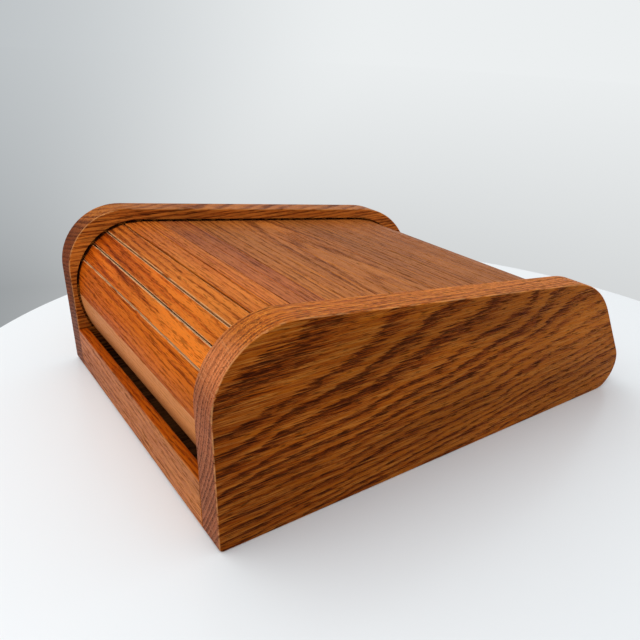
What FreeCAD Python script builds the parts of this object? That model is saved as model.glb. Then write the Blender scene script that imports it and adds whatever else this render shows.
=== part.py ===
"""Oak desk box with a roll-back slatted (tambour) lid.

Frame: millimetres, +Z up, X across the box, -Y is the front with the low rail, origin on the
table under the middle of the bounding box.  The side view is drawn in a (y, z) profile plane
whose zero is the front bottom corner of the sides; every piece is a section in that plane,
drawn out along X.
"""
import FreeCAD, Part
import math
import os

Vector = FreeCAD.Vector

# ---- the box as a whole
BOX_WIDTH = 250.0            # over both sides
SIDE_THICKNESS = 20.0        # planed oak
SIDE_EDGE_EASING = 1.0       # rounded arris round each side

# ---- outline of a side, seen from the side
FRONT_HEIGHT = 125.9         # where the front edge and the top edge would meet if left sharp
BOTTOM_LENGTH = 373.4        # front corner to where the back slope would meet the table if sharp
FRONT_LEAN_DEG = 2.6         # the front edge leans forward
TOP_SLOPE_DEG = 5.3          # the top edge falls towards the back
BACK_SLOPE_DEG = 54.0        # the back edge against the table
FRONT_TOP_RADIUS = 42.0
FRONT_FOOT_RADIUS = 3.0      # rounded bottom corner at the front
BACK_TOP_RADIUS = 72.0
NOSE_RADIUS = 20.0           # round bottom corner at the back

# ---- path of the lid, measured to the outer face of its slats
LID_FRONT_RECESS = 5.0       # face behind the front edge of the sides
LID_TOP_RECESS = 9.5         # face below the top edge of the sides
LID_BACK_RECESS = 13.0       # face inside the back slope, where the lid runs behind the back board
LID_FRONT_RADIUS = 44.4
LID_BACK_RADIUS = 66.0

# ---- slats and their cloth
SLAT_PITCH = 12.5            # along the cloth
SLAT_COUNT = 26
SLAT_THICKNESS = 3.5
SLAT_FACE_GAP = 0.3
SLAT_BACK_GAP = 0.6          # the slats are undercut, so they can hinge on the cloth
SLAT_CHAMFER = 0.3
SLAT_END_CLEARANCE = 0.5     # slat shoulder to side
CLOTH_THICKNESS = 0.6
CLOTH_GAP = 0.8
CLOTH_END_MARGIN = 7.0       # cloth stops short of the sides
FLAT_RUN_FIRST = 5           # slats 5 to 17 stay on the straight top all the time
FLAT_RUN_LAST = 17

# ---- tongues on the slat ends, flush with the face, and the groove they run in
TONGUE_THICKNESS = 2.0
TONGUE_WIDTH = 7.0
TONGUE_LENGTH = 5.0
GROOVE_END_CLEARANCE = 0.8   # beyond the tip of a tongue, along X
GROOVE_OUTER_CLEARANCE = 1.5
GROOVE_INNER_CLEARANCE = 1.45
LEAD_DEPTH = 2.5             # the groove is shallower below the bar's tongue, and its step stops the lid
GROOVE_STOP_CLEARANCE = 0.8  # beyond the first and last tongue, along the groove
LEAD_OVERRUN_DEG = 1.0       # the shallow stretch starts inside the deep one
LID_TRAVEL = 48.0            # how far the lid runs back

# ---- pull bar, the wide leading piece of the lid
BAR_TOP_DEG = 153.0          # its joint with slat 1, round the front curve's centre
BAR_UPRIGHT = 5.3            # upright stretch of its face, from the front curve down to the bevel
BAR_BEVEL_TURN_DEG = 4.5     # the bevel sets off this far inside the upright face
BAR_BEVEL_RADIUS = 75.0
BAR_THICKNESS = 7.5
BAR_FOOT_OVERLAP = 3.8       # its lower edge hangs this far below the rail's top, behind the rail
BAR_FOOT_RADIUS = 2.6        # rounded lower edge
BAR_TONGUE_TOP_DEG = 156.5
BAR_TONGUE_BOTTOM_DEG = 178.0
BAR_REBATE_DEG = 14.0        # rebate for the end of the cloth
BAR_GLUE_LINE = 0.1          # between the cloth and the curved rebate it is glued in

# ---- fixed pieces between the sides
HOUSING_DEPTH = 5.0          # how far rail, floor, board and sill are let into each side
RAIL_HEIGHT = 32.8
RAIL_THICKNESS = 7.0         # its face is flush with the front edge of the sides
RAIL_EDGE_EASING = 0.8
RAIL_SHOULDER = 3.5          # its tongues stand back from its face, top and foot
FLOOR_THICKNESS = 6.0
FLOOR_LIFT = 3.0             # underside of the floor above the table
BACK_INSET = 1.5             # back board and sill inside the outline of the sides
BACK_BOARD_THICKNESS = 8.0
BACK_BOARD_EDGE_EASING = 1.0
SILL_LEDGE_DROP = 11.5       # the sill's ledge, below the nose centre along the back slope
SILL_FOOT = 10.0             # the sill reaches this far in front of the nose centre


def turn(degrees):
    """Unit (y, z) vector at an angle from +y towards +z."""
    angle = math.radians(degrees)
    return Vector(0, math.cos(angle), math.sin(angle))


def point(y, z):
    return Vector(0, y, z)


def crossing(p, along_p, q, along_q):
    """Where the line through p and the line through q meet, in the profile plane."""
    cross = along_p.y * along_q.z - along_p.z * along_q.y
    gap = q - p
    return p + along_p * ((gap.y * along_q.z - gap.z * along_q.y) / cross)


def length_along(start, end):
    return (end - start).Length


def line(a, b):
    return Part.LineSegment(a, b).toShape()


def arc(centre, radius, start_deg, end_deg):
    """Arc in the profile plane from one angle to the other, either way round."""
    middle = centre + turn((start_deg + end_deg) / 2) * radius
    return Part.Arc(centre + turn(start_deg) * radius, middle, centre + turn(end_deg) * radius).toShape()


def closed_face(*edges):
    return Part.Face(Part.Wire(list(edges)))


def polygon_face(points):
    return Part.Face(Part.makePolygon(list(points) + [points[0]]))


def drawn_out(face, x_from, x_to):
    """Solid from a profile-plane face, drawn out along X between two planes."""
    solid = face.extrude(Vector(x_to - x_from, 0, 0))
    solid.translate(Vector(x_from, 0, 0))
    return solid


# ---- directions, corners and centres that everything else is worked out from
UP_FRONT = turn(90 + FRONT_LEAN_DEG)
DOWN_TOP = turn(-TOP_SLOPE_DEG)
DOWN_BACK = turn(-BACK_SLOPE_DEG)
OUT_FRONT = turn(180 + FRONT_LEAN_DEG)
OUT_TOP = turn(90 - TOP_SLOPE_DEG)
OUT_BACK = turn(90 - BACK_SLOPE_DEG)

FRONT_CORNER = point(-math.tan(math.radians(FRONT_LEAN_DEG)) * FRONT_HEIGHT, FRONT_HEIGHT)
NOSE_CORNER = point(BOTTOM_LENGTH, 0)
BACK_CORNER = crossing(FRONT_CORNER, DOWN_TOP, NOSE_CORNER, DOWN_BACK)


def fillet_centre(corner, out_a, out_b, radius):
    """Centre of the arc that is tangent to the two lines through a corner."""
    bisector = out_a + out_b
    return corner - bisector * (radius / (1 + out_a.dot(out_b)))


FRONT_TOP_CENTRE = fillet_centre(FRONT_CORNER, OUT_FRONT, OUT_TOP, FRONT_TOP_RADIUS)
BACK_TOP_CENTRE = fillet_centre(BACK_CORNER, OUT_TOP, OUT_BACK, BACK_TOP_RADIUS)
NOSE_CENTRE = fillet_centre(NOSE_CORNER, OUT_BACK, turn(-90), NOSE_RADIUS)

# lid path: a front curve, a straight top, a back curve and a straight slope
LID_TOP_LINE = FRONT_CORNER - OUT_TOP * LID_TOP_RECESS
LID_SLOPE_LINE = NOSE_CORNER - OUT_BACK * LID_BACK_RECESS
LID_BACK_CORNER = crossing(LID_TOP_LINE, DOWN_TOP, LID_SLOPE_LINE, DOWN_BACK)
LID_BACK_CENTRE = fillet_centre(LID_BACK_CORNER, OUT_TOP, OUT_BACK, LID_BACK_RADIUS)
# the front curve touches the top line, and a line just behind the front edge of the sides
LID_FRONT_LINE = point(LID_FRONT_RECESS / math.cos(math.radians(FRONT_LEAN_DEG)), 0)
LID_FRONT_CORNER = crossing(LID_FRONT_LINE, UP_FRONT, LID_TOP_LINE, DOWN_TOP)
LID_FRONT_CENTRE = fillet_centre(LID_FRONT_CORNER, OUT_FRONT, OUT_TOP, LID_FRONT_RADIUS)

# the bar's bevel sets off from its crease, a little inside the upright face
BAR_CREASE = LID_FRONT_CENTRE + turn(180) * LID_FRONT_RADIUS + turn(-90) * BAR_UPRIGHT
BEVEL_CENTRE = BAR_CREASE + turn(BAR_BEVEL_TURN_DEG) * BAR_BEVEL_RADIUS

TOP_DEG = 90 - TOP_SLOPE_DEG
BACK_DEG = 90 - BACK_SLOPE_DEG
CLOTH_FRONT_RADIUS = LID_FRONT_RADIUS - SLAT_THICKNESS
CLOTH_BACK_RADIUS = LID_BACK_RADIUS - SLAT_THICKNESS
FRONT_RUN = CLOTH_FRONT_RADIUS * math.radians(BAR_TOP_DEG - TOP_DEG)
TOP_RUN = length_along(LID_FRONT_CENTRE + OUT_TOP * LID_FRONT_RADIUS,
                       LID_BACK_CENTRE + OUT_TOP * LID_BACK_RADIUS)
BACK_RUN = CLOTH_BACK_RADIUS * math.radians(TOP_DEG - BACK_DEG)

INNER_X = BOX_WIDTH / 2 - SIDE_THICKNESS
HOUSED_X = INNER_X + HOUSING_DEPTH
SLAT_X = INNER_X - SLAT_END_CLEARANCE
TONGUE_X = SLAT_X + TONGUE_LENGTH
GROOVE_X = TONGUE_X + GROOVE_END_CLEARANCE
CLOTH_X = INNER_X - CLOTH_END_MARGIN

# the box's middle, front to back, comes to y = 0
FOREMOST_Y = FRONT_TOP_CENTRE.y - FRONT_TOP_RADIUS
REARMOST_Y = NOSE_CENTRE.y + NOSE_RADIUS
SHIFT = Vector(0, -(FOREMOST_Y + REARMOST_Y) / 2, 0)


def cloth_point(run):
    """Point on the cloth line (the backs of the slats), a run's length from the pull bar."""
    if run < FRONT_RUN:
        turned = math.degrees(run / CLOTH_FRONT_RADIUS)
        return LID_FRONT_CENTRE + turn(BAR_TOP_DEG - turned) * CLOTH_FRONT_RADIUS
    run -= FRONT_RUN
    if run < TOP_RUN:
        return LID_FRONT_CENTRE + OUT_TOP * CLOTH_FRONT_RADIUS + DOWN_TOP * run
    run -= TOP_RUN
    if run < BACK_RUN:
        turned = math.degrees(run / CLOTH_BACK_RADIUS)
        return LID_BACK_CENTRE + turn(TOP_DEG - turned) * CLOTH_BACK_RADIUS
    run -= BACK_RUN
    return LID_BACK_CENTRE + OUT_BACK * CLOTH_BACK_RADIUS + DOWN_BACK * run


def lid_band(outer, inner, start_deg, slope_end):
    """Face between two offsets from the cloth line, from an angle on the front curve to the slope."""
    def offset_path(offset):
        front = CLOTH_FRONT_RADIUS + offset
        back = CLOTH_BACK_RADIUS + offset
        slope_start = LID_BACK_CENTRE + OUT_BACK * back
        return [
            arc(LID_FRONT_CENTRE, front, start_deg, TOP_DEG),
            line(LID_FRONT_CENTRE + OUT_TOP * front, LID_BACK_CENTRE + OUT_TOP * back),
            arc(LID_BACK_CENTRE, back, TOP_DEG, BACK_DEG),
            line(slope_start, slope_start + DOWN_BACK * slope_end),
        ]
    outside = offset_path(outer)
    inside = offset_path(-inner)
    foot = line(LID_FRONT_CENTRE + turn(start_deg) * (CLOTH_FRONT_RADIUS + outer),
                LID_FRONT_CENTRE + turn(start_deg) * (CLOTH_FRONT_RADIUS - inner))
    tail = line(LID_BACK_CENTRE + OUT_BACK * (CLOTH_BACK_RADIUS + outer) + DOWN_BACK * slope_end,
                LID_BACK_CENTRE + OUT_BACK * (CLOTH_BACK_RADIUS - inner) + DOWN_BACK * slope_end)
    return Part.Face(Part.Wire(Part.__sortEdges__(outside + [tail] + inside + [foot])))


# ---- sections of the fixed pieces, also used to cut their housings
def side_outline():
    """Outline of a side."""
    foot_centre = fillet_centre(point(0, 0), OUT_FRONT, turn(-90), FRONT_FOOT_RADIUS)
    return closed_face(
        line(foot_centre + OUT_FRONT * FRONT_FOOT_RADIUS, FRONT_TOP_CENTRE + OUT_FRONT * FRONT_TOP_RADIUS),
        arc(FRONT_TOP_CENTRE, FRONT_TOP_RADIUS, 180 + FRONT_LEAN_DEG, TOP_DEG),
        line(FRONT_TOP_CENTRE + OUT_TOP * FRONT_TOP_RADIUS, BACK_TOP_CENTRE + OUT_TOP * BACK_TOP_RADIUS),
        arc(BACK_TOP_CENTRE, BACK_TOP_RADIUS, TOP_DEG, BACK_DEG),
        line(BACK_TOP_CENTRE + OUT_BACK * BACK_TOP_RADIUS, NOSE_CENTRE + OUT_BACK * NOSE_RADIUS),
        arc(NOSE_CENTRE, NOSE_RADIUS, BACK_DEG, -90),
        line(NOSE_CENTRE + turn(-90) * NOSE_RADIUS, foot_centre + turn(-90) * FRONT_FOOT_RADIUS),
        arc(foot_centre, FRONT_FOOT_RADIUS, 270, 180 + FRONT_LEAN_DEG))


def rail_slice(inset):
    """Section of the rail, standing back from its face, its foot and its top by an inset."""
    face = point(inset, 0)
    foot = crossing(face, UP_FRONT, point(0, inset), turn(0))
    top = crossing(face, UP_FRONT, point(0, RAIL_HEIGHT - inset), turn(0))
    across = turn(0) * (RAIL_THICKNESS - inset)
    return polygon_face([foot, top, top + across, foot + across])


def rail_tongue_section():
    return rail_slice(RAIL_SHOULDER)


SILL_FRONT = NOSE_CENTRE.y - SILL_FOOT


def rail_back_y(z):
    """Back face of the rail at a height."""
    return crossing(point(RAIL_THICKNESS, 0), UP_FRONT, point(0, z), turn(0)).y


def floor_section():
    under = FLOOR_LIFT
    upper = FLOOR_LIFT + FLOOR_THICKNESS
    return polygon_face([point(rail_back_y(under), under), point(SILL_FRONT, under),
                         point(SILL_FRONT, upper), point(rail_back_y(upper), upper)])


def slope_point(out, down):
    """Point measured from the nose centre: towards the back slope, and down along it."""
    return NOSE_CENTRE + OUT_BACK * out + DOWN_BACK * down


def ledge_turn():
    """The nose arc's radius inside the inset, and its angle where the sill's ledge meets it."""
    radius = NOSE_RADIUS - BACK_INSET
    return radius, BACK_DEG - math.degrees(math.asin(SILL_LEDGE_DROP / radius))


def back_board_section():
    """Flat board on the back slope; its outer face turns in with the nose down to the sill."""
    radius, ledge_deg = ledge_turn()
    inner = radius - BACK_BOARD_THICKNESS
    top_outer = BACK_TOP_CENTRE + OUT_BACK * (BACK_TOP_RADIUS - BACK_INSET)
    top_inner = top_outer - OUT_BACK * BACK_BOARD_THICKNESS
    return closed_face(
        line(top_outer, slope_point(radius, 0)),
        arc(NOSE_CENTRE, radius, BACK_DEG, ledge_deg),
        line(NOSE_CENTRE + turn(ledge_deg) * radius, slope_point(inner, SILL_LEDGE_DROP)),
        line(slope_point(inner, SILL_LEDGE_DROP), top_inner),
        line(top_inner, top_outer))


def back_sill_section():
    """Strip under the back board: round outside, its ledge square to the slope, butting the floor."""
    radius, ledge_deg = ledge_turn()
    floor_top = FLOOR_LIFT + FLOOR_THICKNESS
    under_front = point(SILL_FRONT, BACK_INSET)
    upper_front = point(SILL_FRONT, floor_top)
    ledge_front = crossing(slope_point(0, SILL_LEDGE_DROP), OUT_BACK, upper_front, turn(0))
    ledge_back = NOSE_CENTRE + turn(ledge_deg) * radius
    return closed_face(
        line(under_front, NOSE_CENTRE + turn(-90) * radius),
        arc(NOSE_CENTRE, radius, -90, ledge_deg),
        line(ledge_back, ledge_front),
        line(ledge_front, upper_front),
        line(upper_front, under_front))


def tail_reach():
    """How far down the slope the groove must go for the last tongue with the lid open."""
    past_curve = SLAT_COUNT * SLAT_PITCH - (FRONT_RUN + TOP_RUN + BACK_RUN)
    last_tongue = past_curve - (SLAT_PITCH - TONGUE_WIDTH) / 2
    return last_tongue + LID_TRAVEL + GROOVE_STOP_CLEARANCE


GROOVE_OUTER = LID_FRONT_RADIUS + GROOVE_OUTER_CLEARANCE
GROOVE_INNER = LID_FRONT_RADIUS - TONGUE_THICKNESS - GROOVE_INNER_CLEARANCE


def bar_profile(out):
    """The bar's face moved out by a distance, below the front curve: the top of its upright
    stretch, its radius round the bevel's centre, and the angle there at which the two meet."""
    radius = BAR_BEVEL_RADIUS + out
    upright = LID_FRONT_CENTRE + turn(180) * (LID_FRONT_RADIUS + out)
    crease_deg = 180 + math.degrees(math.acos((BEVEL_CENTRE.y - upright.y) / radius))
    return upright, radius, crease_deg


def bevel_deg(radius, height):
    """Angle round the bevel's centre at a height."""
    return 180 + math.degrees(math.asin((BEVEL_CENTRE.z - height) / radius))


def below_front_curve(out, inn, start_deg, foot_deg_of):
    """Face between two offsets of the bar's face, from an angle on the front curve to its foot."""
    outer_top, outer_radius, outer_crease = bar_profile(out)
    inner_top, inner_radius, inner_crease = bar_profile(-inn)
    outer_foot = foot_deg_of(outer_radius)
    inner_foot = foot_deg_of(inner_radius)
    foot = line(BEVEL_CENTRE + turn(outer_foot) * outer_radius,
                BEVEL_CENTRE + turn(inner_foot) * inner_radius)
    return closed_face(
        arc(LID_FRONT_CENTRE, LID_FRONT_RADIUS + out, start_deg, 180),
        line(outer_top, BEVEL_CENTRE + turn(outer_crease) * outer_radius),
        arc(BEVEL_CENTRE, outer_radius, outer_crease, outer_foot),
        foot,
        arc(BEVEL_CENTRE, inner_radius, inner_foot, inner_crease),
        line(BEVEL_CENTRE + turn(inner_crease) * inner_radius, inner_top),
        arc(LID_FRONT_CENTRE, LID_FRONT_RADIUS - inn, 180, start_deg),
        line(LID_FRONT_CENTRE + turn(start_deg) * (LID_FRONT_RADIUS - inn),
             LID_FRONT_CENTRE + turn(start_deg) * (LID_FRONT_RADIUS + out)))


def side_panel(hand):
    """One side; hand is +1 for the right (+X) side and -1 for the left."""
    panel = drawn_out(side_outline(), INNER_X, BOX_WIDTH / 2)
    rims = [edge for edge in panel.Edges if edge.BoundBox.XLength < 1e-6]
    panel = panel.makeFillet(SIDE_EDGE_EASING, rims)
    stop_deg = BAR_TONGUE_BOTTOM_DEG + math.degrees(GROOVE_STOP_CLEARANCE / LID_FRONT_RADIUS)
    groove = lid_band(GROOVE_OUTER - CLOTH_FRONT_RADIUS, CLOTH_FRONT_RADIUS - GROOVE_INNER,
                      stop_deg, tail_reach())
    panel = panel.cut(drawn_out(groove, INNER_X - 1, GROOVE_X))
    lead = below_front_curve(GROOVE_OUTER_CLEARANCE, TONGUE_THICKNESS + GROOVE_INNER_CLEARANCE,
                             stop_deg - LEAD_OVERRUN_DEG, lambda radius: bevel_deg(radius, RAIL_HEIGHT))
    panel = panel.cut(drawn_out(lead, INNER_X - 1, INNER_X + LEAD_DEPTH))
    for section in (rail_tongue_section(), floor_section(), back_board_section(), back_sill_section()):
        panel = panel.cut(drawn_out(section, INNER_X - 1, HOUSED_X))
    if hand < 0:
        panel = panel.mirror(Vector(0, 0, 0), Vector(1, 0, 0))
    return panel


def between_sides(section):
    """A fixed piece whose ends are let into both sides."""
    return drawn_out(section, -HOUSED_X, HOUSED_X)


def front_rail():
    """Flush between the sides, with a tongue on each end let into them."""
    rail = drawn_out(rail_slice(0), -INNER_X, INNER_X)
    long_edges = [edge for edge in rail.Edges if edge.BoundBox.XLength > INNER_X]
    top_edges = [edge for edge in long_edges if edge.BoundBox.ZMin > RAIL_HEIGHT - 0.01]
    rail = rail.makeFillet(RAIL_EDGE_EASING, top_edges)
    foot_edges = [edge for edge in rail.Edges
                  if edge.BoundBox.ZMax < 0.01 and abs(edge.BoundBox.YMax) < 0.01
                  and edge.BoundBox.XLength > INNER_X]
    rail = rail.makeFillet(FRONT_FOOT_RADIUS, foot_edges)
    return rail.fuse(between_sides(rail_tongue_section())).removeSplitter()


def back_board():
    board = between_sides(back_board_section())
    top_edges = []
    for edge in board.Edges:
        below_top = (edge.Vertexes[0].Point - BACK_TOP_CENTRE).dot(DOWN_BACK)
        if edge.BoundBox.XLength > INNER_X and abs(below_top) < 0.01:
            top_edges.append(edge)
    return board.makeFillet(BACK_BOARD_EDGE_EASING, top_edges)


# ---- the lid
def slat_frame(number):
    """Middle of a slat's back, its direction along the lid, and its outward direction."""
    start = cloth_point((number - 1) * SLAT_PITCH)
    end = cloth_point(number * SLAT_PITCH)
    along = (end - start).normalize()
    return (start + end) / 2, along, Vector(0, -along.z, along.y), length_along(start, end)


def lid_slat(number):
    """Undercut strip with a tongue on each end, flush with its face; its back is on the cloth."""
    middle, along, out, chord = slat_frame(number)
    face = (SLAT_PITCH - SLAT_FACE_GAP) / 2
    back = (chord - SLAT_BACK_GAP) / 2
    shoulder = SLAT_THICKNESS - SLAT_CHAMFER

    def at(a, o):
        return middle + along * a + out * o
    strip = drawn_out(polygon_face([
        at(-back, 0), at(-face, shoulder), at(-face + SLAT_CHAMFER, SLAT_THICKNESS),
        at(face - SLAT_CHAMFER, SLAT_THICKNESS), at(face, shoulder), at(back, 0)]), -SLAT_X, SLAT_X)
    half = TONGUE_WIDTH / 2
    under = SLAT_THICKNESS - TONGUE_THICKNESS
    tongue = drawn_out(polygon_face([
        at(-half, under), at(-half, SLAT_THICKNESS), at(half, SLAT_THICKNESS), at(half, under)]),
        -TONGUE_X, TONGUE_X)
    return strip.fuse(tongue).removeSplitter()


def cloth_strip(number):
    """The cloth behind one slat."""
    middle, along, out, chord = slat_frame(number)
    half = along * ((chord - CLOTH_GAP) / 2)
    under = out * -CLOTH_THICKNESS
    return drawn_out(polygon_face([middle - half, middle + half,
                                   middle + half + under, middle - half + under]), -CLOTH_X, CLOTH_X)


def cloth_flat_run():
    """One piece of cloth behind all the slats that stay on the straight top."""
    middle, along, out, chord = slat_frame(FLAT_RUN_FIRST)
    start = middle - along * ((chord - CLOTH_GAP) / 2)
    middle, along, out, chord = slat_frame(FLAT_RUN_LAST)
    end = middle + along * ((chord - CLOTH_GAP) / 2)
    under = OUT_TOP * -CLOTH_THICKNESS
    lift = OUT_TOP * ((LID_FRONT_CENTRE + OUT_TOP * CLOTH_FRONT_RADIUS - start).dot(OUT_TOP))
    start = start + lift
    return drawn_out(polygon_face([start, end, end + under, start + under]), -CLOTH_X, CLOTH_X)


def lid_pull_bar():
    """Wide leading piece: a curved face, a bevel that leans in below it, a rounded lower edge."""
    centre = LID_FRONT_CENTRE
    top_deg = BAR_TOP_DEG + math.degrees(SLAT_FACE_GAP / 2 / LID_FRONT_RADIUS)
    foot_deg = bevel_deg(BAR_BEVEL_RADIUS, RAIL_HEIGHT - BAR_FOOT_OVERLAP)
    body = below_front_curve(0, BAR_THICKNESS, top_deg, lambda radius: foot_deg)
    bar = drawn_out(body, -SLAT_X, SLAT_X)
    foot_edges = []
    for edge in bar.Edges:
        reach = edge.Vertexes[0].Point - BEVEL_CENTRE
        at_foot = abs(math.degrees(math.atan2(-reach.z, -reach.y)) + 180 - foot_deg) < 0.01
        if edge.BoundBox.XLength > INNER_X and at_foot:
            foot_edges.append(edge)
    bar = bar.makeFillet(BAR_FOOT_RADIUS, foot_edges)
    rebate_end = top_deg + BAR_REBATE_DEG
    beyond = LID_FRONT_RADIUS - BAR_THICKNESS - 1
    rebate = closed_face(
        arc(centre, CLOTH_FRONT_RADIUS, top_deg - 1, rebate_end),
        line(centre + turn(rebate_end) * CLOTH_FRONT_RADIUS, centre + turn(rebate_end) * beyond),
        arc(centre, beyond, rebate_end, top_deg - 1),
        line(centre + turn(top_deg - 1) * beyond, centre + turn(top_deg - 1) * CLOTH_FRONT_RADIUS))
    bar = bar.cut(drawn_out(rebate, -BOX_WIDTH, BOX_WIDTH))
    tongue_inner = LID_FRONT_RADIUS - TONGUE_THICKNESS
    tongue = closed_face(
        arc(centre, LID_FRONT_RADIUS, BAR_TONGUE_TOP_DEG, BAR_TONGUE_BOTTOM_DEG),
        line(centre + turn(BAR_TONGUE_BOTTOM_DEG) * LID_FRONT_RADIUS,
             centre + turn(BAR_TONGUE_BOTTOM_DEG) * tongue_inner),
        arc(centre, tongue_inner, BAR_TONGUE_BOTTOM_DEG, BAR_TONGUE_TOP_DEG),
        line(centre + turn(BAR_TONGUE_TOP_DEG) * tongue_inner,
             centre + turn(BAR_TONGUE_TOP_DEG) * LID_FRONT_RADIUS))
    return bar.fuse(drawn_out(tongue, -TONGUE_X, TONGUE_X)).removeSplitter()


def cloth_bar_end():
    """The end of the cloth, glued in the pull bar's rebate."""
    centre = LID_FRONT_CENTRE
    margin = math.degrees(CLOTH_GAP / 2 / CLOTH_FRONT_RADIUS)
    start = BAR_TOP_DEG + margin
    end = BAR_TOP_DEG + BAR_REBATE_DEG - margin
    outer = CLOTH_FRONT_RADIUS - BAR_GLUE_LINE
    inner = outer - CLOTH_THICKNESS
    return drawn_out(closed_face(
        arc(centre, outer, start, end),
        line(centre + turn(end) * outer, centre + turn(end) * inner),
        arc(centre, inner, end, start),
        line(centre + turn(start) * inner, centre + turn(start) * outer)), -CLOTH_X, CLOTH_X)


def build():
    """All nodes, by name."""
    nodes = {
        "side_panel_right": side_panel(1),
        "side_panel_left": side_panel(-1),
        "front_rail": front_rail(),
        "floor_panel": between_sides(floor_section()),
        "back_board": back_board(),
        "back_sill": between_sides(back_sill_section()),
        "lid_pull_bar": lid_pull_bar(),
        "lid_cloth_pull_bar": cloth_bar_end(),
        "lid_cloth_flat_run": cloth_flat_run(),
    }
    for number in range(1, SLAT_COUNT + 1):
        nodes["lid_slat_%02d" % number] = lid_slat(number)
        if not FLAT_RUN_FIRST <= number <= FLAT_RUN_LAST:
            nodes["lid_cloth_%02d" % number] = cloth_strip(number)
    return nodes


os.makedirs("parts", exist_ok=True)
for name, shape in build().items():
    shape.translate(SHIFT)
    shape.exportStep("parts/%s.step" % name)
    state = "valid" if shape.isValid() else "BAD"
    print(name, len(shape.Solids), "solid", round(shape.Volume, 1), "mm3", state)
print("profile plane moved by", round(SHIFT.y, 3), "along y")
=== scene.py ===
import math
import bpy
import numpy as np
from mathutils import Matrix


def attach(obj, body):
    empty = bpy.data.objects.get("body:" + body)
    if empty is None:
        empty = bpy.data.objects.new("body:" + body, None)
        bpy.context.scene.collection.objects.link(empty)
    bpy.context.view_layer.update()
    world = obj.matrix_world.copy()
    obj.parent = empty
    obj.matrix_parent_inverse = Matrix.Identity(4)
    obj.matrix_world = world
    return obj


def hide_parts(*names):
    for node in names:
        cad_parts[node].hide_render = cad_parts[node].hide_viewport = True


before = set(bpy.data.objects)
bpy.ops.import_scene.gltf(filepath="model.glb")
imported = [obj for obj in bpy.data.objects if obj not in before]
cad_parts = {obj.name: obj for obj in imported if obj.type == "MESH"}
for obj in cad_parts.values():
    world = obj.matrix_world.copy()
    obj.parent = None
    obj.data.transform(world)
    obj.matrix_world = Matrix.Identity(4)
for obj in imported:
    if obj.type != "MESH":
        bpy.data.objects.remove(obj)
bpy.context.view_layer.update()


# ---------------------------------------------------------------- camera and lamp
# The box is seen a little from above, past its right front corner, so the rolled front of the
# lid, its top and the whole right side show.  One broad soft lamp stands to the left of the view.

CAMERA_PLACE = (0.34220, -0.28330, 0.23613)      # metres, as all places from here to the floor
CAMERA_HEADING = 53.278      # degrees that the view turns left from +Y
CAMERA_DOWN = 23.475         # degrees below the horizon
CAMERA_ROLL = 3.547
CAMERA_LENS = 34.757         # mm
FILM_WIDTH = 36.0            # mm
NEAREST_SEEN = 0.01
LAMP_PLACE = (-0.35, -0.75, 1.35)
LAMP_TARGET = (0.0, -0.05, 0.05)
LAMP_WIDTH = 1.8
LAMP_WATTS = 14.0
LAMP_COLOUR = (1.0, 0.99, 0.97)


def aim(name, data, place, heading, down, roll):
    """Puts a camera or lamp at a place: turned about Z, then tilted below the horizon, then rolled."""
    thing = bpy.data.objects.new(name, data)
    turned = Matrix.Rotation(math.radians(heading), 4, "Z")
    tilted = Matrix.Rotation(math.radians(90 - down), 4, "X")
    rolled = Matrix.Rotation(math.radians(roll), 4, "Z")
    thing.matrix_world = Matrix.Translation(place) @ turned @ tilted @ rolled
    bpy.context.scene.collection.objects.link(thing)
    return thing


camera_data = bpy.data.cameras.new("camera")
camera_data.lens = CAMERA_LENS
camera_data.sensor_width = FILM_WIDTH
camera_data.clip_start = NEAREST_SEEN
bpy.context.scene.camera = aim("camera", camera_data, CAMERA_PLACE, CAMERA_HEADING, CAMERA_DOWN,
                               CAMERA_ROLL)
bpy.context.scene.view_settings.view_transform = "Standard"

lamp_data = bpy.data.lights.new("window", "AREA")
lamp_data.shape = "SQUARE"
lamp_data.size = LAMP_WIDTH
lamp_data.energy = LAMP_WATTS
lamp_data.color = LAMP_COLOUR
east, north, above = np.subtract(LAMP_TARGET, LAMP_PLACE)
aim("window", lamp_data, LAMP_PLACE, math.degrees(math.atan2(-east, north)),
    math.degrees(math.atan2(-above, math.hypot(east, north))), 0.0)


# ---------------------------------------------------------------- room
# The box stands in a pale painted room, a little darker to the left of the view.  An even soft
# light from all round it fills the shaded right side.

def srgb(red, green, blue):
    """A colour written as 0 to 255 screen values, as the linear colour that a shader takes."""
    shown = np.array([red, green, blue]) / 255.0
    linear = np.where(shown <= 0.04045, shown / 12.92, ((shown + 0.055) / 1.055) ** 2.4)
    return tuple(float(value) for value in linear) + (1.0,)


ROOM_LEFT = srgb(188, 193, 196)
ROOM_MIDDLE = srgb(236, 239, 240)
ROOM_LIGHT_COLOUR = srgb(250, 251, 255)
ROOM_LIGHT = 0.80            # level of the light from all round, against 1 for white
LEFT_OF_VIEW = (-0.60, -0.80, 0.0)
LEFT_DARKENS = (-0.06, 0.55)      # cosines to the left of the view where that starts and ends


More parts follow.
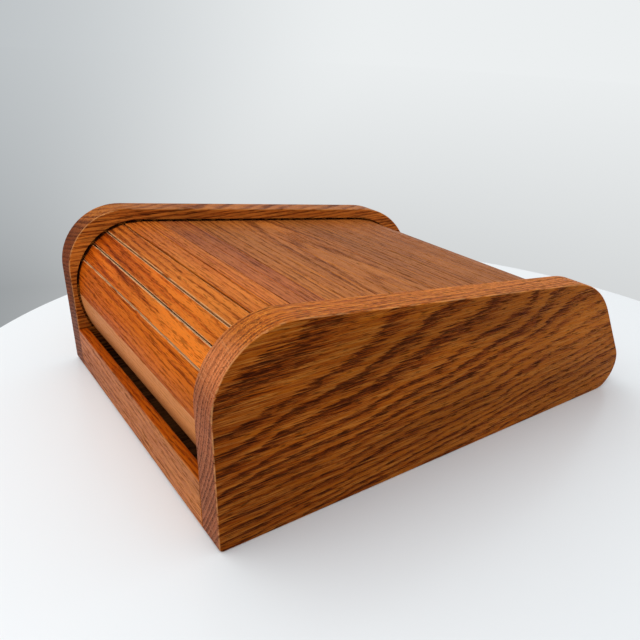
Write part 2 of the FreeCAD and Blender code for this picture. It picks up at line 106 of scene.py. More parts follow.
class Nodes:
    """The nodes of a material or of the world, with one short call per node."""

    def __init__(self, owner):
        owner.use_nodes = True
        self.tree = owner.node_tree

    def join(self, source, socket):
        """Feeds a socket from another socket, or sets its value."""
        if isinstance(source, bpy.types.NodeSocket):
            self.tree.links.new(source, socket)
        else:
            socket.default_value = source

    def add(self, kind, feeds=None, **settings):
        """A new node with its settings; feeds gives the source of each input, by name or number."""
        node = self.tree.nodes.new("ShaderNode" + kind)
        for setting, value in settings.items():
            setattr(node, setting, value)
        for socket, source in (feeds or {}).items():
            self.join(source, node.inputs[socket])
        return node

    def math(self, operation, *values, clamp=False):
        """One step of arithmetic on numbers."""
        node = self.add("Math", dict(enumerate(values)), operation=operation, use_clamp=clamp)
        return node.outputs[0]

    def vector_math(self, operation, *values, output="Vector"):
        """One step of arithmetic on vectors."""
        return self.add("VectorMath", dict(enumerate(values)), operation=operation).outputs[output]

    def spread(self, value, low, high, to_low=0.0, to_high=1.0):
        """Maps low..high smoothly to to_low..to_high, held at both ends."""
        feeds = dict(enumerate((value, low, high, to_low, to_high)))
        return self.add("MapRange", feeds, interpolation_type="SMOOTHSTEP").outputs[0]

    def mix(self, share, first, second, blend="MIX"):
        """Blends two colours, which are the node's inputs 6 and 7."""
        feeds = {"Factor": share, 6: first, 7: second}
        return self.add("Mix", feeds, data_type="RGBA", blend_type=blend).outputs[2]


def backdrop_colour(nodes, direction):
    """Colour of the room in a direction from the box, told by its cosine to the left."""
    leftness = nodes.vector_math("DOT_PRODUCT", direction, LEFT_OF_VIEW, output="Value")
    return nodes.mix(nodes.spread(leftness, *LEFT_DARKENS), ROOM_MIDDLE, ROOM_LEFT)


def seen_directly(nodes, lit, shown):
    """Shader that is shown to the camera and in shiny surfaces, and lit for all other rays."""
    rays = nodes.add("LightPath")
    seen = nodes.math("MAXIMUM", rays.outputs["Is Camera Ray"], rays.outputs["Is Glossy Ray"])
    return nodes.add("MixShader", {0: seen, 1: lit, 2: shown}).outputs[0]


world = bpy.data.worlds.new("room")
bpy.context.scene.world = world
room = Nodes(world)
room.tree.nodes.clear()
painted = backdrop_colour(room, room.add("TexCoord").outputs["Generated"])
shown_room = room.add("Background", {"Color": painted})
ambient = room.add("Background", {"Color": ROOM_LIGHT_COLOUR, "Strength": ROOM_LIGHT})
room.add("OutputWorld", {"Surface": seen_directly(room, ambient.outputs[0], shown_room.outputs[0])})


# ---------------------------------------------------------------- table and floor
# The box stands on a round white table with a smooth lacquered top.  The floor round it shows the
# colour of the room, darker under and near the table.

TABLE_MIDDLE = (0.047, 0.033)
TABLE_RADIUS = 0.359
TABLE_SIDES = 256
TABLE_COLOUR = srgb(235, 239, 240)
FLOOR_DROP = 0.0004          # the floor is drawn just below the table top
FLOOR_HALF = 12.0
FLOOR_SHADE_MIDDLE = (0.035, -0.28, 0.0)
FLOOR_SHADE_REACH = 0.142
FLOOR_SHADE_LEAST = 0.60


def stage_sheet(name, outline, finish):
    """A flat face round an outline, which belongs to the scene and not to the box."""
    mesh = bpy.data.meshes.new(name)
    mesh.from_pydata(outline.tolist(), [], [tuple(range(len(outline)))])
    mesh.materials.append(finish)
    sheet = bpy.data.objects.new(name, mesh)
    bpy.context.scene.collection.objects.link(sheet)


table_white = bpy.data.materials.new("table_white")
lacquer = Nodes(table_white).tree.nodes["Principled BSDF"]
lacquer.inputs["Base Color"].default_value = TABLE_COLOUR
lacquer.inputs["Roughness"].default_value = 0.22
lacquer.inputs["Specular IOR Level"].default_value = 0.25
turns = np.linspace(0.0, 2.0 * np.pi, TABLE_SIDES, endpoint=False)
stage_sheet("table", np.stack([TABLE_MIDDLE[0] + TABLE_RADIUS * np.cos(turns),
                               TABLE_MIDDLE[1] + TABLE_RADIUS * np.sin(turns),
                               np.zeros(TABLE_SIDES)], axis=1), table_white)

floor_pale = bpy.data.materials.new("room_floor_pale")
paint = Nodes(floor_pale)
matt = paint.tree.nodes["Principled BSDF"]
matt.inputs["Base Color"].default_value = TABLE_COLOUR
matt.inputs["Roughness"].default_value = 0.9
# Its brightness is 1 less the reach of the shade over the distance, but not under the least.
away = paint.vector_math("SUBTRACT", paint.add("TexCoord").outputs["Object"], FLOOR_SHADE_MIDDLE)
distance = paint.vector_math("LENGTH", away, output="Value")
brightness = paint.math("ADD", paint.math("DIVIDE", -FLOOR_SHADE_REACH, distance), 1.0)
shown_floor = paint.add("Emission", {
    "Color": backdrop_colour(paint, paint.vector_math("NORMALIZE", away)),
    "Strength": paint.math("MAXIMUM", brightness, FLOOR_SHADE_LEAST)})
paint.join(seen_directly(paint, matt.outputs[0], shown_floor.outputs[0]),
           paint.tree.nodes["Material Output"].inputs["Surface"])
corners = FLOOR_HALF * np.array([(-1, -1), (1, -1), (1, 1), (-1, 1)])
stage_sheet("room_floor", np.column_stack([corners, np.full(4, -FLOOR_DROP)]), floor_pale)


# ---------------------------------------------------------------- side panels
# Two 20 mm boards of flat-sawn red oak, sawn to the rounded outline, their arrises eased with
# sandpaper.  A stopped groove for the lid and shallow housings for the rail, floor and back are
# cut in the inner faces.  Oiled to a deep satin brown.

class Finish(Nodes):
    """A material with its shader, and with patterns in millimetres on the piece."""

    def __init__(self, name):
        self.material = bpy.data.materials.new(name)
        super().__init__(self.material)
        self.shader = self.tree.nodes["Principled BSDF"]
        self.coordinates = self.add("TexCoord")

    def about(self, value, middle, gain):
        """(value - middle) * gain."""
        return self.math("MULTIPLY_ADD", value, gain, -middle * gain)

    def vector(self, x, y, z):
        """Three numbers as a vector, or as a colour."""
        return self.add("CombineXYZ", {0: x, 1: y, 2: z}).outputs[0]

    def stretched(self, fibre, along, across, shift):
        """The place on the piece in units of along mm down the fibre and across mm over it."""
        sizes = [1000.0 / across] * 3
        sizes["XYZ".index(fibre)] = 1000.0 / along
        return self.vector_math("MULTIPLY_ADD", self.coordinates.outputs["Object"], sizes,
                                (shift, shift * 0.7, shift * 1.3))

    def noise(self, place, detail=2.0, rough=0.5):
        """Noise with features about one unit of place across; mostly between 0.3 and 0.7."""
        feeds = {"Vector": place, "Scale": 1.0, "Detail": detail, "Roughness": rough}
        return self.add("TexNoise", feeds).outputs["Fac"]

    def facing(self, direction):
        """Cosine of the angle between the surface and a direction fixed to the piece."""
        normal = self.coordinates.outputs["Normal"]
        return self.vector_math("DOT_PRODUCT", normal, direction, output="Value")

    def ramp(self, value, stops):
        """Colour ramp through (place, colour) stops."""
        node = self.add("ValToRGB", {"Fac": value})
        band = node.color_ramp
        while len(band.elements) < len(stops):
            band.elements.new(1.0)
        for element, (place, colour) in zip(band.elements, stops):
            element.position = place
            element.color = colour
        return node.outputs["Color"]

    def relief(self, height, strength, depth):
        """Bumps of the given height, as a share of depth in metres."""
        bump = self.add("Bump", {"Height": height, "Strength": strength, "Distance": depth})
        self.join(bump.outputs["Normal"], self.shader.inputs["Normal"])


# The features of the grain, each as noise: its length along the fibre and its width across it in
# mm, its shift from the board's seed, its detail and its roughness.
SLOW_WANDER = (62.0, 30.0, 0.0, 1.0, 0.5)
QUICK_WANDER = (20.0, 8.0, 3.0, 1.0, 0.5)
STREAKS = (75.0, 2.4, 5.0, 3.0, 0.55)
TORN_EDGES = (24.0, 0.8, 7.0, 2.0, 0.6)
BROAD_SHADES = (130.0, 32.0, 9.0, 1.0, 0.5)
FIBRES = (24.0, 0.5, 11.0, 4.0, 0.7)
SHORT_PORES = (5.5, 0.34, 13.0, 1.0, 0.5)
LONG_PORES = (10.0, 0.85, 15.0, 1.0, 0.5)
FINEST_FIBRES = (26.0, 0.40, 17.0, 2.0, 0.6)
PATCH_NOISE = (14.0, 3.0, 19.0, 2.0, 0.6)

SLOW_SWING = 6.0             # mm that the rings wander, at wander 1
QUICK_SWING = 1.6
TORN_SWING = 2.4             # years that their edges are torn, at ragged 1
UNEVEN_SWING = 1.7           # years that stretches of thin or thick years shift the rings
UNEVEN_WIDTH = 7.5           # mm across such a stretch
RAY_WIDTH = 0.75             # mm round the rings, at RAY_RADIUS from the heart
RAY_DEPTH = 11.0             # mm out from the heart
RAY_LENGTH = 9.0             # mm along the fibre
RAY_RADIUS = 190.0
LEAN_REACH = 178.0           # mm from the middle of a board, where its lean has its full value
PORE_DEPTH = 0.00015         # metres
FIBRE_LINES = {"X": (1.0, 0.0, 0.0), "Y": (0.0, 1.0, 0.0)}
SILVER = srgb(184, 124, 56)  # of the finest fibres


class Oak(Finish):
    """Red oak sawn from a log, as a solid pattern in millimetres.

    fibre is the axis that the grain runs along.  heart is the middle of the log in the other two
    axes, and drift how far it moves per millimetre along the grain.  The distance from the heart
    over the ring width counts the years, and the fraction of it is the place within one year.
    Noise drawn out along the fibre makes the rings wander and their edges ragged.
    """

    def __init__(self, name, fibre, heart, drift, ring, seed, wander, ragged):
        super().__init__(name)
        self.fibre = fibre
        self.seed = seed
        place = self.add("SeparateXYZ", {0: self.coordinates.outputs["Object"]})
        axes = {"X": (0, 1, 2), "Y": (1, 0, 2)}[fibre]
        self.along, side, self.up = (self.math("MULTIPLY", place.outputs[axis], 1000.0)
                                     for axis in axes)
        heart_side = self.math("MULTIPLY_ADD", self.along, drift[0], heart[0])
        heart_up = self.math("MULTIPLY_ADD", self.along, drift[1], heart[1])
        self.off_side = self.math("SUBTRACT", side, heart_side)
        self.off_up = self.math("SUBTRACT", self.up, heart_up)
        radius = self.math("SQRT", self.math("MULTIPLY_ADD", self.off_side, self.off_side,
                                             self.math("MULTIPLY", self.off_up, self.off_up)))
        for feature, swing in ((SLOW_WANDER, SLOW_SWING), (QUICK_WANDER, QUICK_SWING)):
            radius = self.math("ADD", radius, self.about(self.grain(feature), 0.5, swing * wander))
        self.radius = radius
        uneven = self.vector(self.math("MULTIPLY", radius, 1 / UNEVEN_WIDTH), seed, 0.0)
        years = self.math("ADD", self.math("DIVIDE", radius, ring),
                          self.about(self.noise(uneven, 0.0), 0.5, UNEVEN_SWING))
        torn = self.about(self.grain(TORN_EDGES), 0.5, TORN_SWING * ragged)
        self.years = self.math("ADD", years, torn)
        self.year = self.math("FRACT", self.years)
        self.patchiness = self.spread(self.grain(PATCH_NOISE), 0.34, 0.52)

    def grain(self, feature):
        """The noise of one feature of the grain."""
        along, across, shift, detail, rough = feature
        place = self.stretched(self.fibre, along, across, self.seed + shift)
        return self.noise(place, detail, rough)

    def early_wood(self):
        """Coarse dark band at the start of each year.  It rises over the first tenth of the year
        and fades from 0.18 of it to between 0.50 and 0.95, and is wider and stronger in a year
        of more vigour, which is drawn for each year."""
        drawn = self.math("ADD", self.math("FLOOR", self.years), self.seed)
        vigour = self.add("TexWhiteNoise", {"W": drawn}, noise_dimensions="1D").outputs["Value"]
        fade_end = self.math("MULTIPLY_ADD", vigour, 0.45, 0.50)
        band = self.math("MULTIPLY", self.spread(self.year, 0.0, 0.10),
                         self.spread(self.year, 0.18, fade_end, 1.0, 0.0))
        return self.math("MULTIPLY", band, self.math("MULTIPLY_ADD", vigour, 0.45, 0.55))

    def pores(self, early):
        """Open pores as short and long dashes, thickest in the early wood."""
        short = self.math("MULTIPLY_ADD", early, 0.10, self.grain(SHORT_PORES))
        long = self.math("MULTIPLY_ADD", early, 0.13, self.grain(LONG_PORES))
        return self.math("MAXIMUM", self.spread(short, 0.62, 0.72), self.spread(long, 0.62, 0.70))

    def rays(self):
        """Flecks of the rays, which run out from the heart across the rings."""
        turned = self.math("MULTIPLY", self.math("ARCTAN2", self.off_up, self.off_side), RAY_RADIUS)
        place = self.vector(self.math("MULTIPLY", turned, 1 / RAY_WIDTH),
                            self.math("MULTIPLY", self.radius, 1 / RAY_DEPTH),
                            self.math("MULTIPLY", self.along, 1 / RAY_LENGTH))
        return self.spread(self.noise(place, 0.0), 0.60, 0.74)

    def end_grain(self, colour, tones, early, streaks, rays):
        """Puts end grain where a face cuts across the fibre: from the first tone in late wood to
        the second in early wood, with rays and lines of late wood in the third."""
        cut = self.spread(self.math("ABSOLUTE", self.facing(FIBRE_LINES[self.fibre])), 0.45, 0.85)
        darker = self.math("ADD", self.math("MULTIPLY", early, 0.8), self.about(streaks, 0.5, 1.6),
                           clamp=True)
        off_late = self.math("ABSOLUTE", self.math("SUBTRACT", self.year, 0.88))
        late = self.spread(off_late, 0.03, 0.10, 1.0, 0.0)
        lattice = self.math("MAXIMUM", rays, self.math("MULTIPLY", late, self.patchiness))
        end = self.mix(self.math("MULTIPLY", lattice, 0.5), self.mix(darker, *tones[:2]), tones[2])
        return self.mix(cut, colour, end)

    def tinted(self, colour, told_by, low, high, share, tint, blend):
        """Blends a tint into some parts of a board: bare wood, darker wood, painted highlights,
        painted light and painted shade.

        They are told by the cosine to a direction, by the height or the reach from the middle along
        the grain in mm, as a line at the height low and twice as thick as high, or, with an axis, as
        the eased edges of a board square to it.  The one blend that is not a node's own is a "MIX"
        that takes only in patches drawn by noise, so the tint is broken up.
        """
        if told_by == "height":
            mask = self.spread(self.up, low, high)
        elif told_by == "reach":
            mask = self.spread(self.math("ABSOLUTE", self.along), low, high)
        elif told_by == "line":
            off_line = self.math("ABSOLUTE", self.math("SUBTRACT", self.up, low))
            mask = self.spread(off_line, high, 2 * high, 1.0, 0.0)
        elif told_by in FIBRE_LINES:
            square = self.math("ABSOLUTE", self.facing(FIBRE_LINES[told_by]))
            mask = self.math("MULTIPLY", self.spread(square, low, low + 0.3),
                             self.spread(square, high - 0.2, high, 1.0, 0.0))
        else:
            mask = self.spread(self.facing(told_by), low, high)
        if blend == "WORN":
            mask = self.math("MULTIPLY", mask, self.patchiness)
            blend = "MIX"
        return self.mix(self.math("MULTIPLY", mask, share), colour, tint, blend)


def oak(name, fibre, heart, drift, ring, seed, light, middle, dark, end=None, wander=0.6, ragged=0.5,
        figure=0.6, streak=0.9, fine=1.2, pore=0.45, offset=0.15, gloss=0.38, shine=0.05, lean=0.0,
        sheen=0.12, tints=()):
    """The finish of one board of oak.

    What Oak takes comes first, with wander and ragged for how far the rings wander and how much
    their edges are torn.  light, middle and dark are the colours of the tone, which starts at
    offset, and end the three colours of the end grain.  figure, streak and fine are how much the
    early wood, the streaks and the fibres change the tone, and lean how much darker it is at the
    -fibre end than in the middle.  sheen is how much the finest fibres stand out pale, and pore
    how much the pores darken.  gloss is the roughness between the pores, and shine the specular
    level.  tints are what Oak.tinted takes after the colour.
    """
    wood = Oak(name, fibre, heart, drift, ring, seed, wander, ragged)
    early = wood.early_wood()
    streaks = wood.grain(STREAKS)
    fibres = wood.grain(FIBRES)
    strokes = wood.math("MULTIPLY_ADD", wood.spread(fibres, 0.40, 0.60), 0.7, 0.65)
    tone = wood.math("MULTIPLY_ADD", wood.math("MULTIPLY", early, strokes), figure, offset)
    tone = wood.math("ADD", tone, wood.about(streaks, 0.5, streak))
    tone = wood.math("MULTIPLY_ADD", wood.along, -lean / LEAN_REACH, tone)
    tone = wood.math("ADD", tone, wood.about(fibres, 0.5, fine), clamp=True)
    silver = wood.math("MULTIPLY", wood.spread(wood.grain(FINEST_FIBRES), 0.48, 0.62),
                       wood.spread(tone, 0.15, 0.75, sheen, 0.15 * sheen))
    colour = wood.ramp(tone, [(0.0, light), (0.42, middle), (0.9, dark)])
    colour = wood.mix(silver, colour, SILVER)
    pores = wood.pores(early)
    rays = wood.rays()
    if end:
        colour = wood.end_grain(colour, end, early, streaks, rays)
    # broad shades, pores and rays darken all that
    shade = wood.math("ADD", wood.about(wood.grain(BROAD_SHADES), 0.5, 0.8), 1.0)
    shade = wood.math("MULTIPLY", shade, wood.math("MULTIPLY_ADD", pores, -pore, 1.0))
    shade = wood.math("MULTIPLY", shade, wood.math("MULTIPLY_ADD", rays, -0.12, 1.0))
    colour = wood.mix(1.0, colour, wood.vector(shade, shade, shade), "MULTIPLY")
    for tint in tints:
        colour = wood.tinted(colour, *tint)
    wood.join(colour, wood.shader.inputs["Base Color"])
    wood.join(wood.math("MULTIPLY_ADD", pores, 0.25, gloss), wood.shader.inputs["Roughness"])
    wood.shader.inputs["Specular IOR Level"].default_value = shine
    wood.relief(wood.math("SUBTRACT", 1.0, pores), 0.4, PORE_DEPTH)
    return wood.material


def dress(node, material):
    """Gives a CAD node its material."""
    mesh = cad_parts[node].data
    mesh.materials.clear()
    mesh.materials.append(material)


SIDE_END = (srgb(156, 86, 52), srgb(114, 60, 38), srgb(192, 124, 86))
UPWARD = (0.0, 0.0, 1.0)
FORWARD = (0.0, -1.0, 0.0)
# Painted highlight along the rounded arrises of the side panels, broken into patches.
PAINTED_ARRIS_HIGHLIGHT = ("X", 0.15, 0.97, 0.45, srgb(222, 158, 100), "WORN")
# Painted light on the near side's upward faces, which are lit from above: brightened, with a little
# pale colour mixed in.
PAINTED_LIGHT_ON_RIM = [(UPWARD, 0.1, 0.6, 1.0, (1.62, 1.64, 1.40, 1.0), "MULTIPLY"),
            (UPWARD, 0.1, 0.6, 0.14, srgb(196, 126, 74), "MIX")]
DARK_RIM = (UPWARD, 0.1, 0.6, 1.0, (0.76, 0.78, 0.62, 1.0), "MULTIPLY")
DARK_FRONT = (FORWARD, 0.4, 0.9, 1.0, (0.54, 0.36, 0.12, 1.0), "MULTIPLY")

dress("side_panel_right",
      oak("oak_side_right", fibre="Y", heart=(-76.0, 122.0), drift=(-0.065, 0.0), ring=2.8,
          seed=3.0, light=srgb(158, 84, 14), middle=srgb(126, 54, 4), dark=srgb(70, 22, 1),
          end=SIDE_END, figure=0.52, ragged=0.29, fine=1.6, pore=0.6, lean=0.22, offset=0.09,
          shine=0.02, sheen=0.42, tints=PAINTED_LIGHT_ON_RIM + [PAINTED_ARRIS_HIGHLIGHT]))
dress("side_panel_left",
      oak("oak_side_left", fibre="Y", heart=(-60.0, -140.0), drift=(0.03, 0.05), ring=2.9,
          seed=17.0, light=srgb(206, 118, 42), middle=srgb(160, 78, 24), dark=srgb(88, 32, 8),
          end=SIDE_END, figure=0.5, ragged=0.3, shine=0.03, sheen=0.3,
          tints=[DARK_RIM, DARK_FRONT, PAINTED_ARRIS_HIGHLIGHT]))


# ---------------------------------------------------------------- rail, floor, back board and sill
# A thin oak rail across the front, an oak-faced plywood floor and, at the back, a flat board with
# a rounded strip under it.  Their ends are glued into the housings in the sides.

RAIL_TOP = (UPWARD, 0.5, 0.95, 1.0, (0.95, 0.60, 0.09, 1.0), "MULTIPLY")
BACK_TONES = (srgb(176, 100, 46), srgb(146, 76, 28), srgb(92, 38, 12))

dress("front_rail",
      oak("oak_rail", fibre="X", heart=(60.0, -90.0), drift=(0.04, 0.0), ring=2.4, seed=31.0,
          light=srgb(188, 112, 50), middle=srgb(164, 84, 32), dark=srgb(118, 52, 15),
          figure=0.45, fine=0.8, lean=0.25, tints=[RAIL_TOP]))
dress("floor_panel",
      oak("oak_floor", fibre="Y", heart=(10.0, -160.0), drift=(0.03, 0.03), ring=3.0, seed=41.0,
          light=srgb(120, 70, 36), middle=srgb(96, 52, 24), dark=srgb(64, 30, 12), gloss=0.5))
dress("back_board", oak("oak_back", "X", (110.0, -60.0), (0.03, 0.0), 2.6, 53.0, *BACK_TONES))
dress("back_sill", oak("oak_sill", "X", (160.0, -90.0), (0.02, 0.0), 2.6, 59.0, *BACK_TONES))


# ---------------------------------------------------------------- pull bar and slats
# The lid is a wide leading bar and 26 narrow slats of the same oak, ripped from a few boards and
# laid on the cloth in order.  A tongue on each end runs in the side's groove.  Their narrow edges
# are left bare, and pale highlights are painted along the arrises.

# Pale colour of the painted highlights on the arrises and on the bar's crease.
EDGE_HIGHLIGHT = srgb(220, 168, 116)
BARE_FLANK = srgb(200, 150, 100)
SHADED_ENDS = ("reach", 103.4, 103.9, 0.9, srgb(40, 14, 4), "MIX")      # painted shade along the ends, beside the dark side grooves
BAR_TOP_EDGE = 87.1          # height of its upper edge at the first joint, which carries a painted highlight
BAR_CREASE = 61.6            # height of the crease where the bar's bevel starts

dress("lid_pull_bar",
      oak("oak_pull_bar", fibre="X", heart=(-60.0, -80.0), drift=(0.03, 0.0), ring=2.5, seed=71.0,
          light=srgb(192, 94, 12), middle=srgb(166, 70, 6), dark=srgb(114, 42, 2), wander=0.25,
          ragged=0.35, figure=0.45, streak=0.7, fine=1.0, lean=0.4, offset=0.08, shine=0.02,
          # Painted light: below the crease the bevel is drawn paler; lower down, where it curves
          # under, it is drawn darker as painted shade.
          tints=[("height", BAR_CREASE + 0.3, BAR_CREASE - 0.3, 0.6, srgb(208, 142, 86), "MIX"),
                 ("height", BAR_CREASE - 8.0, BAR_CREASE - 20.0, 0.5, srgb(130, 74, 40), "MIX"),
                 ("line", BAR_CREASE + 1.8, 1.1, 0.35, srgb(120, 44, 16), "WORN"),
                 # Painted highlights on the crease and on the upper edge, broken into patches.
                 ("line", BAR_CREASE, 0.3, 0.4, EDGE_HIGHLIGHT, "WORN"),
                 ("height", BAR_TOP_EDGE - 0.6, BAR_TOP_EDGE - 0.2, 0.85, EDGE_HIGHLIGHT, "WORN"),
                 SHADED_ENDS]))

SLAT_COUNT = 26
SLAT_TONES = {
    "bright": (srgb(234, 124, 34), srgb(208, 96, 16), srgb(136, 48, 2)),
    "orange": (srgb(222, 116, 30), srgb(196, 88, 14), srgb(130, 46, 2)),
    "tan": (srgb(204, 114, 40), srgb(176, 86, 24), srgb(114, 48, 12)),
    "dark": (srgb(178, 98, 46), srgb(146, 72, 34), srgb(100, 42, 20)),
    "brown": (srgb(180, 106, 44), srgb(154, 82, 30), srgb(104, 48, 14)),
    # Painted shade: a darker copy of brown for the slats from 14 on, towards the back of the lid.
    "deep": (srgb(170, 100, 42), srgb(144, 76, 28), srgb(98, 44, 12)),
}
OPEN_JOINTS = 3              # slats whose edges show, on the front curve
SLAT_RUN = ["bright", "orange"] + ["tan"] * 3 + ["dark"] * 2 + ["brown"] * 6 + ["deep"] * 13
SLAT_LEAN = [0.8, 0.8, 0.4, 0.3] + [0.15] * 22      # the first ones are darker at their left ends


def slat_directions(node):
    """Direction out of a slat's face, which is the normal of its largest upward triangle, and its
    direction along the lid, square to that and to X."""
    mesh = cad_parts[node].data
    areas = np.empty(len(mesh.polygons))
    mesh.polygons.foreach_get("area", areas)
    normals = np.empty(len(mesh.polygons) * 3)
    mesh.polygons.foreach_get("normal", normals)
    normals = normals.reshape(-1, 3)
    out = normals[np.argmax(areas * (normals[:, 2] > 0.0))]
    out = out / np.linalg.norm(out)
    return out, np.cross((1.0, 0.0, 0.0), out)


def highlit_arrises_and_bare_flanks(node):
    """Tints of a slat's two arrises, halfway between its face and its edges, as painted highlights,
    and of its two bare edges."""
    out, along = slat_directions(node)
    halfway = math.sqrt(0.5)
    arrises = [(tuple((out + along * way) * halfway), 0.90, 0.97, 0.9, EDGE_HIGHLIGHT, "WORN")
               for way in (-1, 1)]
    flanks = [(tuple(along * way), 0.80, 0.95, 0.9, BARE_FLANK, "WORN") for way in (-1, 1)]
    return arrises + flanks


for number in range(1, SLAT_COUNT + 1):
    node = "lid_slat_%02d" % number
    edges = highlit_arrises_and_bare_flanks(node) if number <= OPEN_JOINTS else []
    dress(node, oak("oak_" + node[4:], "X", (-30.5, 40.0), (0.0, 0.035), 2.6, 83.0,
                    *SLAT_TONES[SLAT_RUN[number - 1]], figure=0.45, streak=1.1, wander=0.25,
                    ragged=0.35, shine=0.03, sheen=0.25, lean=SLAT_LEAN[number - 1],
                    tints=edges + [SHADED_ENDS]))


# ---------------------------------------------------------------- cloth behind the slats
# One sheet of unbleached cotton canvas, glued to the backs of the slats.  It bends at each joint
# and puckers up a little way into it, so a pale line shows where the joints open on the curve.
# Further on, in the shut joints, it is painted dark as shade.  It stops short of the slats' ends.

SLAT_PITCH = 12.5            # mm, as all sizes here
SLAT_BACK_RADIUS = 40.9      # front curve, to the backs of the slats
BACK_CURVE_RADIUS = 62.5
FRONT_CURVE = np.array([-128.9276, 66.9375])      # middles of the two curves, as (y, z)
BACK_CURVE = np.array([81.7926, 25.697])
TOP_SLOPE = math.radians(5.3)
BACK_SLOPE = math.radians(54.0)
LID_START = math.radians(153.0)      # the first joint, round the front curve from +y
BAR_GLUE_ARC = math.radians(13.0)
BAR_GLUE_STOP = 0.010        # radians short of the joint
BAR_GLUE_LINE = 0.1
BAR_ARC_POINTS = 15
CANVAS_HALF_WIDTH = 98.0
CANVAS_STEPS = 57            # points across the lid
CANVAS_THICKNESS = 0.55
CANVAS_CLEAR = 0.42          # from a joint to the flat part of a strip
PUCKER_HALF = 0.19           # half thickness at its foot
PUCKER_WAIST = 1.1           # height up to which it is that thick
PUCKER_TOP_HALF = 0.14
PUCKER_HEIGHT = 2.9
PUCKER_TIP = 0.25            # height over which its top rounds off
PUCKER_CROWN = 0.06          # height of the last of that, inside 0.6 of its width
FOLD_BELOW = 0.15            # its far foot, below the backs of the slats
FOLD_BACK = 0.1              # its end under the cloth, before the joint
THREADS = 0.9                # width of two threads of the weave


def arc_point(middle, radius, angle):
    """Point (y, z) on a circle, at an angle from +y towards +z."""
    return middle + radius * np.array([math.cos(angle), math.sin(angle)])


def lid_joint(run):
    """Point (y, z) on the backs of the slats after a run from the pull bar: round the front
    curve, straight down the top, round the back curve, straight down the slope."""
    top_angle = math.pi / 2 - TOP_SLOPE
    back_angle = math.pi / 2 - BACK_SLOPE
    start = arc_point(FRONT_CURVE, SLAT_BACK_RADIUS, top_angle)
    stop = arc_point(BACK_CURVE, BACK_CURVE_RADIUS, top_angle)
    on_front = SLAT_BACK_RADIUS * (LID_START - top_angle)
    on_top = float(np.linalg.norm(stop - start))
    on_back = BACK_CURVE_RADIUS * (top_angle - back_angle)
    if run < on_front:
        return arc_point(FRONT_CURVE, SLAT_BACK_RADIUS, LID_START - run / SLAT_BACK_RADIUS)
    run -= on_front
    if run < on_top:
        return start + (stop - start) * run / on_top
    run -= on_top
    if run < on_back:
        return arc_point(BACK_CURVE, BACK_CURVE_RADIUS, top_angle - run / BACK_CURVE_RADIUS)
    run -= on_back
    down = np.array([math.cos(BACK_SLOPE), -math.sin(BACK_SLOPE)])
    return arc_point(BACK_CURVE, BACK_CURVE_RADIUS, back_angle) + run * down


def pucker(foot, under):
    """Outline of a pucker as (past the joint, above the backs of the slats): up from the height
    foot on one side, over the rounded tip, down the other side and back to the height under."""
    side = [(PUCKER_HALF, PUCKER_WAIST), (PUCKER_TOP_HALF, PUCKER_HEIGHT - PUCKER_TIP),
            (PUCKER_TOP_HALF * 0.6, PUCKER_HEIGHT - PUCKER_CROWN)]
    return ([(-PUCKER_HALF, foot)] + [(-past, height) for past, height in side]
            + [(0.0, PUCKER_HEIGHT)] + side[::-1] + [(PUCKER_HALF, -FOLD_BELOW), (-FOLD_BACK, under)])


def strip_profile(start, end, puckered):
    """Flat strip from one joint to the next, its top on the slats' backs, with or without a pucker
    in the joint at its far end.  Out is the side away from the middles of the curves."""
    length = float(np.linalg.norm(end - start))
    along = (end - start) / length
    out = np.array([-along[1], along[0]])
    if out @ (start + end - FRONT_CURVE - BACK_CURVE) < 0:
        out = -out
    shape = [(CANVAS_CLEAR, 0.0), (length - CANVAS_CLEAR, 0.0)]
    if puckered:
        shape += [(length + past, height) for past, height in pucker(0.02, -0.18)]
    shape += [(length - CANVAS_CLEAR, -CANVAS_THICKNESS), (CANVAS_CLEAR, -CANVAS_THICKNESS)]
    return start + np.array(shape) @ np.array([along, out])


def bar_profile():
    """Curved strip in the bar's rebate: an arc inside the backs of the slats and a smaller arc
    under it, with the pucker of the first joint at its end."""
    top_radius = SLAT_BACK_RADIUS - BAR_GLUE_LINE
    glued = np.linspace(LID_START + BAR_GLUE_ARC, LID_START + BAR_GLUE_STOP, BAR_ARC_POINTS)
    top = [arc_point(FRONT_CURVE, top_radius, angle) for angle in glued]
    joint = [arc_point(FRONT_CURVE, SLAT_BACK_RADIUS + height, LID_START - past / SLAT_BACK_RADIUS)
             for past, height in pucker(-BAR_GLUE_LINE, -0.2)]
    under = [arc_point(FRONT_CURVE, top_radius - CANVAS_THICKNESS, angle) for angle in glued[::-1]]
    return np.array(top + joint + under)


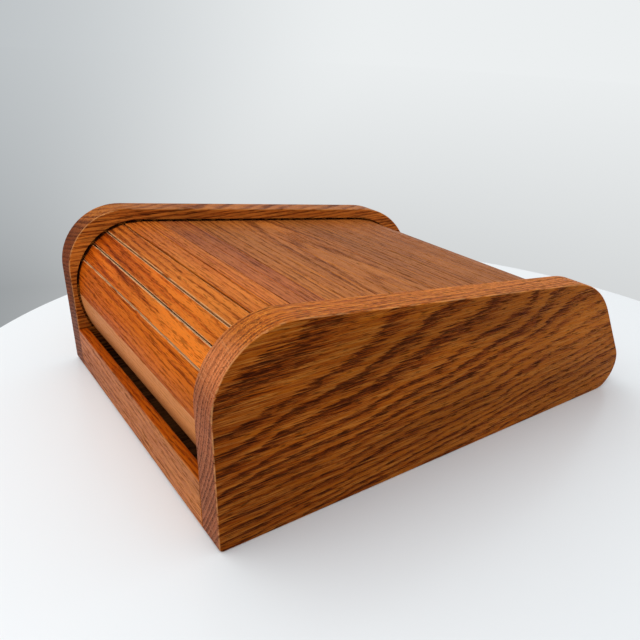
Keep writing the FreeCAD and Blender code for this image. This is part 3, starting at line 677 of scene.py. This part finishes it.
def canvas_strip(name, profile, finish):
    """A closed (y, z) profile in mm, carried across the lid along X in even steps, with a capped
    face at each end.  u runs across the lid and v round the profile, both in millimetres."""
    count = len(profile)
    following = np.roll(profile, -1, 0)
    x = np.linspace(-CANVAS_HALF_WIDTH, CANVAS_HALF_WIDTH, CANVAS_STEPS)
    points = np.empty((CANVAS_STEPS, count, 3))
    points[:, :, 0] = x[:, None]
    points[:, :, 1:] = profile[None]
    i, j = np.meshgrid(np.arange(CANVAS_STEPS - 1), np.arange(count), indexing="ij")
    k = (j + 1) % count
    quads = np.stack([i * count + j, i * count + k, (i + 1) * count + k, (i + 1) * count + j], -1)
    caps = [list(range(count))[::-1], list(range((CANVAS_STEPS - 1) * count, CANVAS_STEPS * count))]
    mesh = bpy.data.meshes.new(name)
    mesh.from_pydata((points.reshape(-1, 3) / 1000.0).tolist(), [],
                     quads.reshape(-1, 4).tolist() + caps)
    run = np.concatenate([[0.0], np.cumsum(np.linalg.norm(following - profile, axis=1))])
    places = np.zeros((len(mesh.loops), 2))
    places[:quads.size] = np.stack(
        [np.stack([x[i], run[j]], -1), np.stack([x[i], run[j + 1]], -1),
         np.stack([x[i + 1], run[j + 1]], -1), np.stack([x[i + 1], run[j]], -1)], 2).reshape(-1, 2)
    mesh.uv_layers.new(name="UVMap").data.foreach_set("uv", places.ravel())
    if np.sum(profile[:, 0] * following[:, 1] - following[:, 0] * profile[:, 1]) < 0:
        mesh.flip_normals()
    mesh.materials.append(finish)
    piece = bpy.data.objects.new(name, mesh)
    bpy.context.scene.collection.objects.link(piece)
    return piece


def canvas(name, *tones):
    """Plain-woven cotton: two sets of threads in turn over and under, from sine waves along the
    two directions of the sheet, with a little unevenness from noise."""
    cloth = Finish(name)
    place = cloth.add("SeparateXYZ", {0: cloth.coordinates.outputs["UV"]})
    warp, weft = (cloth.math("SINE", cloth.math("MULTIPLY", place.outputs[axis],
                                                2 * math.pi / THREADS)) for axis in (0, 1))
    weave = cloth.math("ABSOLUTE", cloth.math("MULTIPLY", warp, weft))
    slub = cloth.noise(cloth.stretched("X", 9.0, 1.5, 4.0))
    tone = cloth.math("ADD", cloth.math("MULTIPLY", weave, 0.35), cloth.about(slub, 0.4, 1.2),
                      clamp=True)
    colour = cloth.ramp(tone, list(zip((0.0, 0.5, 1.0), tones)))
    cloth.join(colour, cloth.shader.inputs["Base Color"])
    cloth.shader.inputs["Roughness"].default_value = 0.9
    cloth.shader.inputs["Specular IOR Level"].default_value = 0.15
    cloth.relief(weave, 0.5, 0.0002)
    return cloth.material


PLAIN_CANVAS = canvas("cotton_canvas", srgb(184, 154, 116), srgb(212, 182, 142), srgb(230, 206, 170))
# Painted shade: a dark brown copy of the canvas, for the strips whose puckers stand in shut joints.
SHADED_CANVAS = canvas("cotton_canvas_painted_shade", srgb(96, 52, 26), srgb(118, 68, 36), srgb(140, 86, 50))
PLAIN_CANVAS_STRIPS = ("pull_bar", "01", "02")      # the strips whose puckers stand in open joints
FLAT_RUN = (5, 17)           # slats that stay on the straight top, on one rigid body


def lay_canvas(part, body, profile):
    """The visible strip for one of the lid's cloth solids, glued behind a node of the lid."""
    piece = canvas_strip("canvas_" + part, profile, PLAIN_CANVAS if part in PLAIN_CANVAS_STRIPS else SHADED_CANVAS)
    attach(piece, body)
    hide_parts("lid_cloth_" + part)


joints = [lid_joint(SLAT_PITCH * count) for count in range(SLAT_COUNT + 1)]
for number in range(1, SLAT_COUNT + 1):
    if not FLAT_RUN[0] <= number <= FLAT_RUN[1]:
        puckered = number < SLAT_COUNT
        lay_canvas("%02d" % number, "slat_%02d" % number,
                   strip_profile(joints[number - 1], joints[number], puckered))

first_joint, flat_end = joints[FLAT_RUN[0]], joints[FLAT_RUN[1]]
flat_run = flat_end - first_joint
flat_start = first_joint - flat_run / np.linalg.norm(flat_run) * SLAT_PITCH
lay_canvas("flat_run", "lid_flat_run", strip_profile(flat_start, flat_end, True))
lay_canvas("pull_bar", "lid_pull_bar", bar_profile())
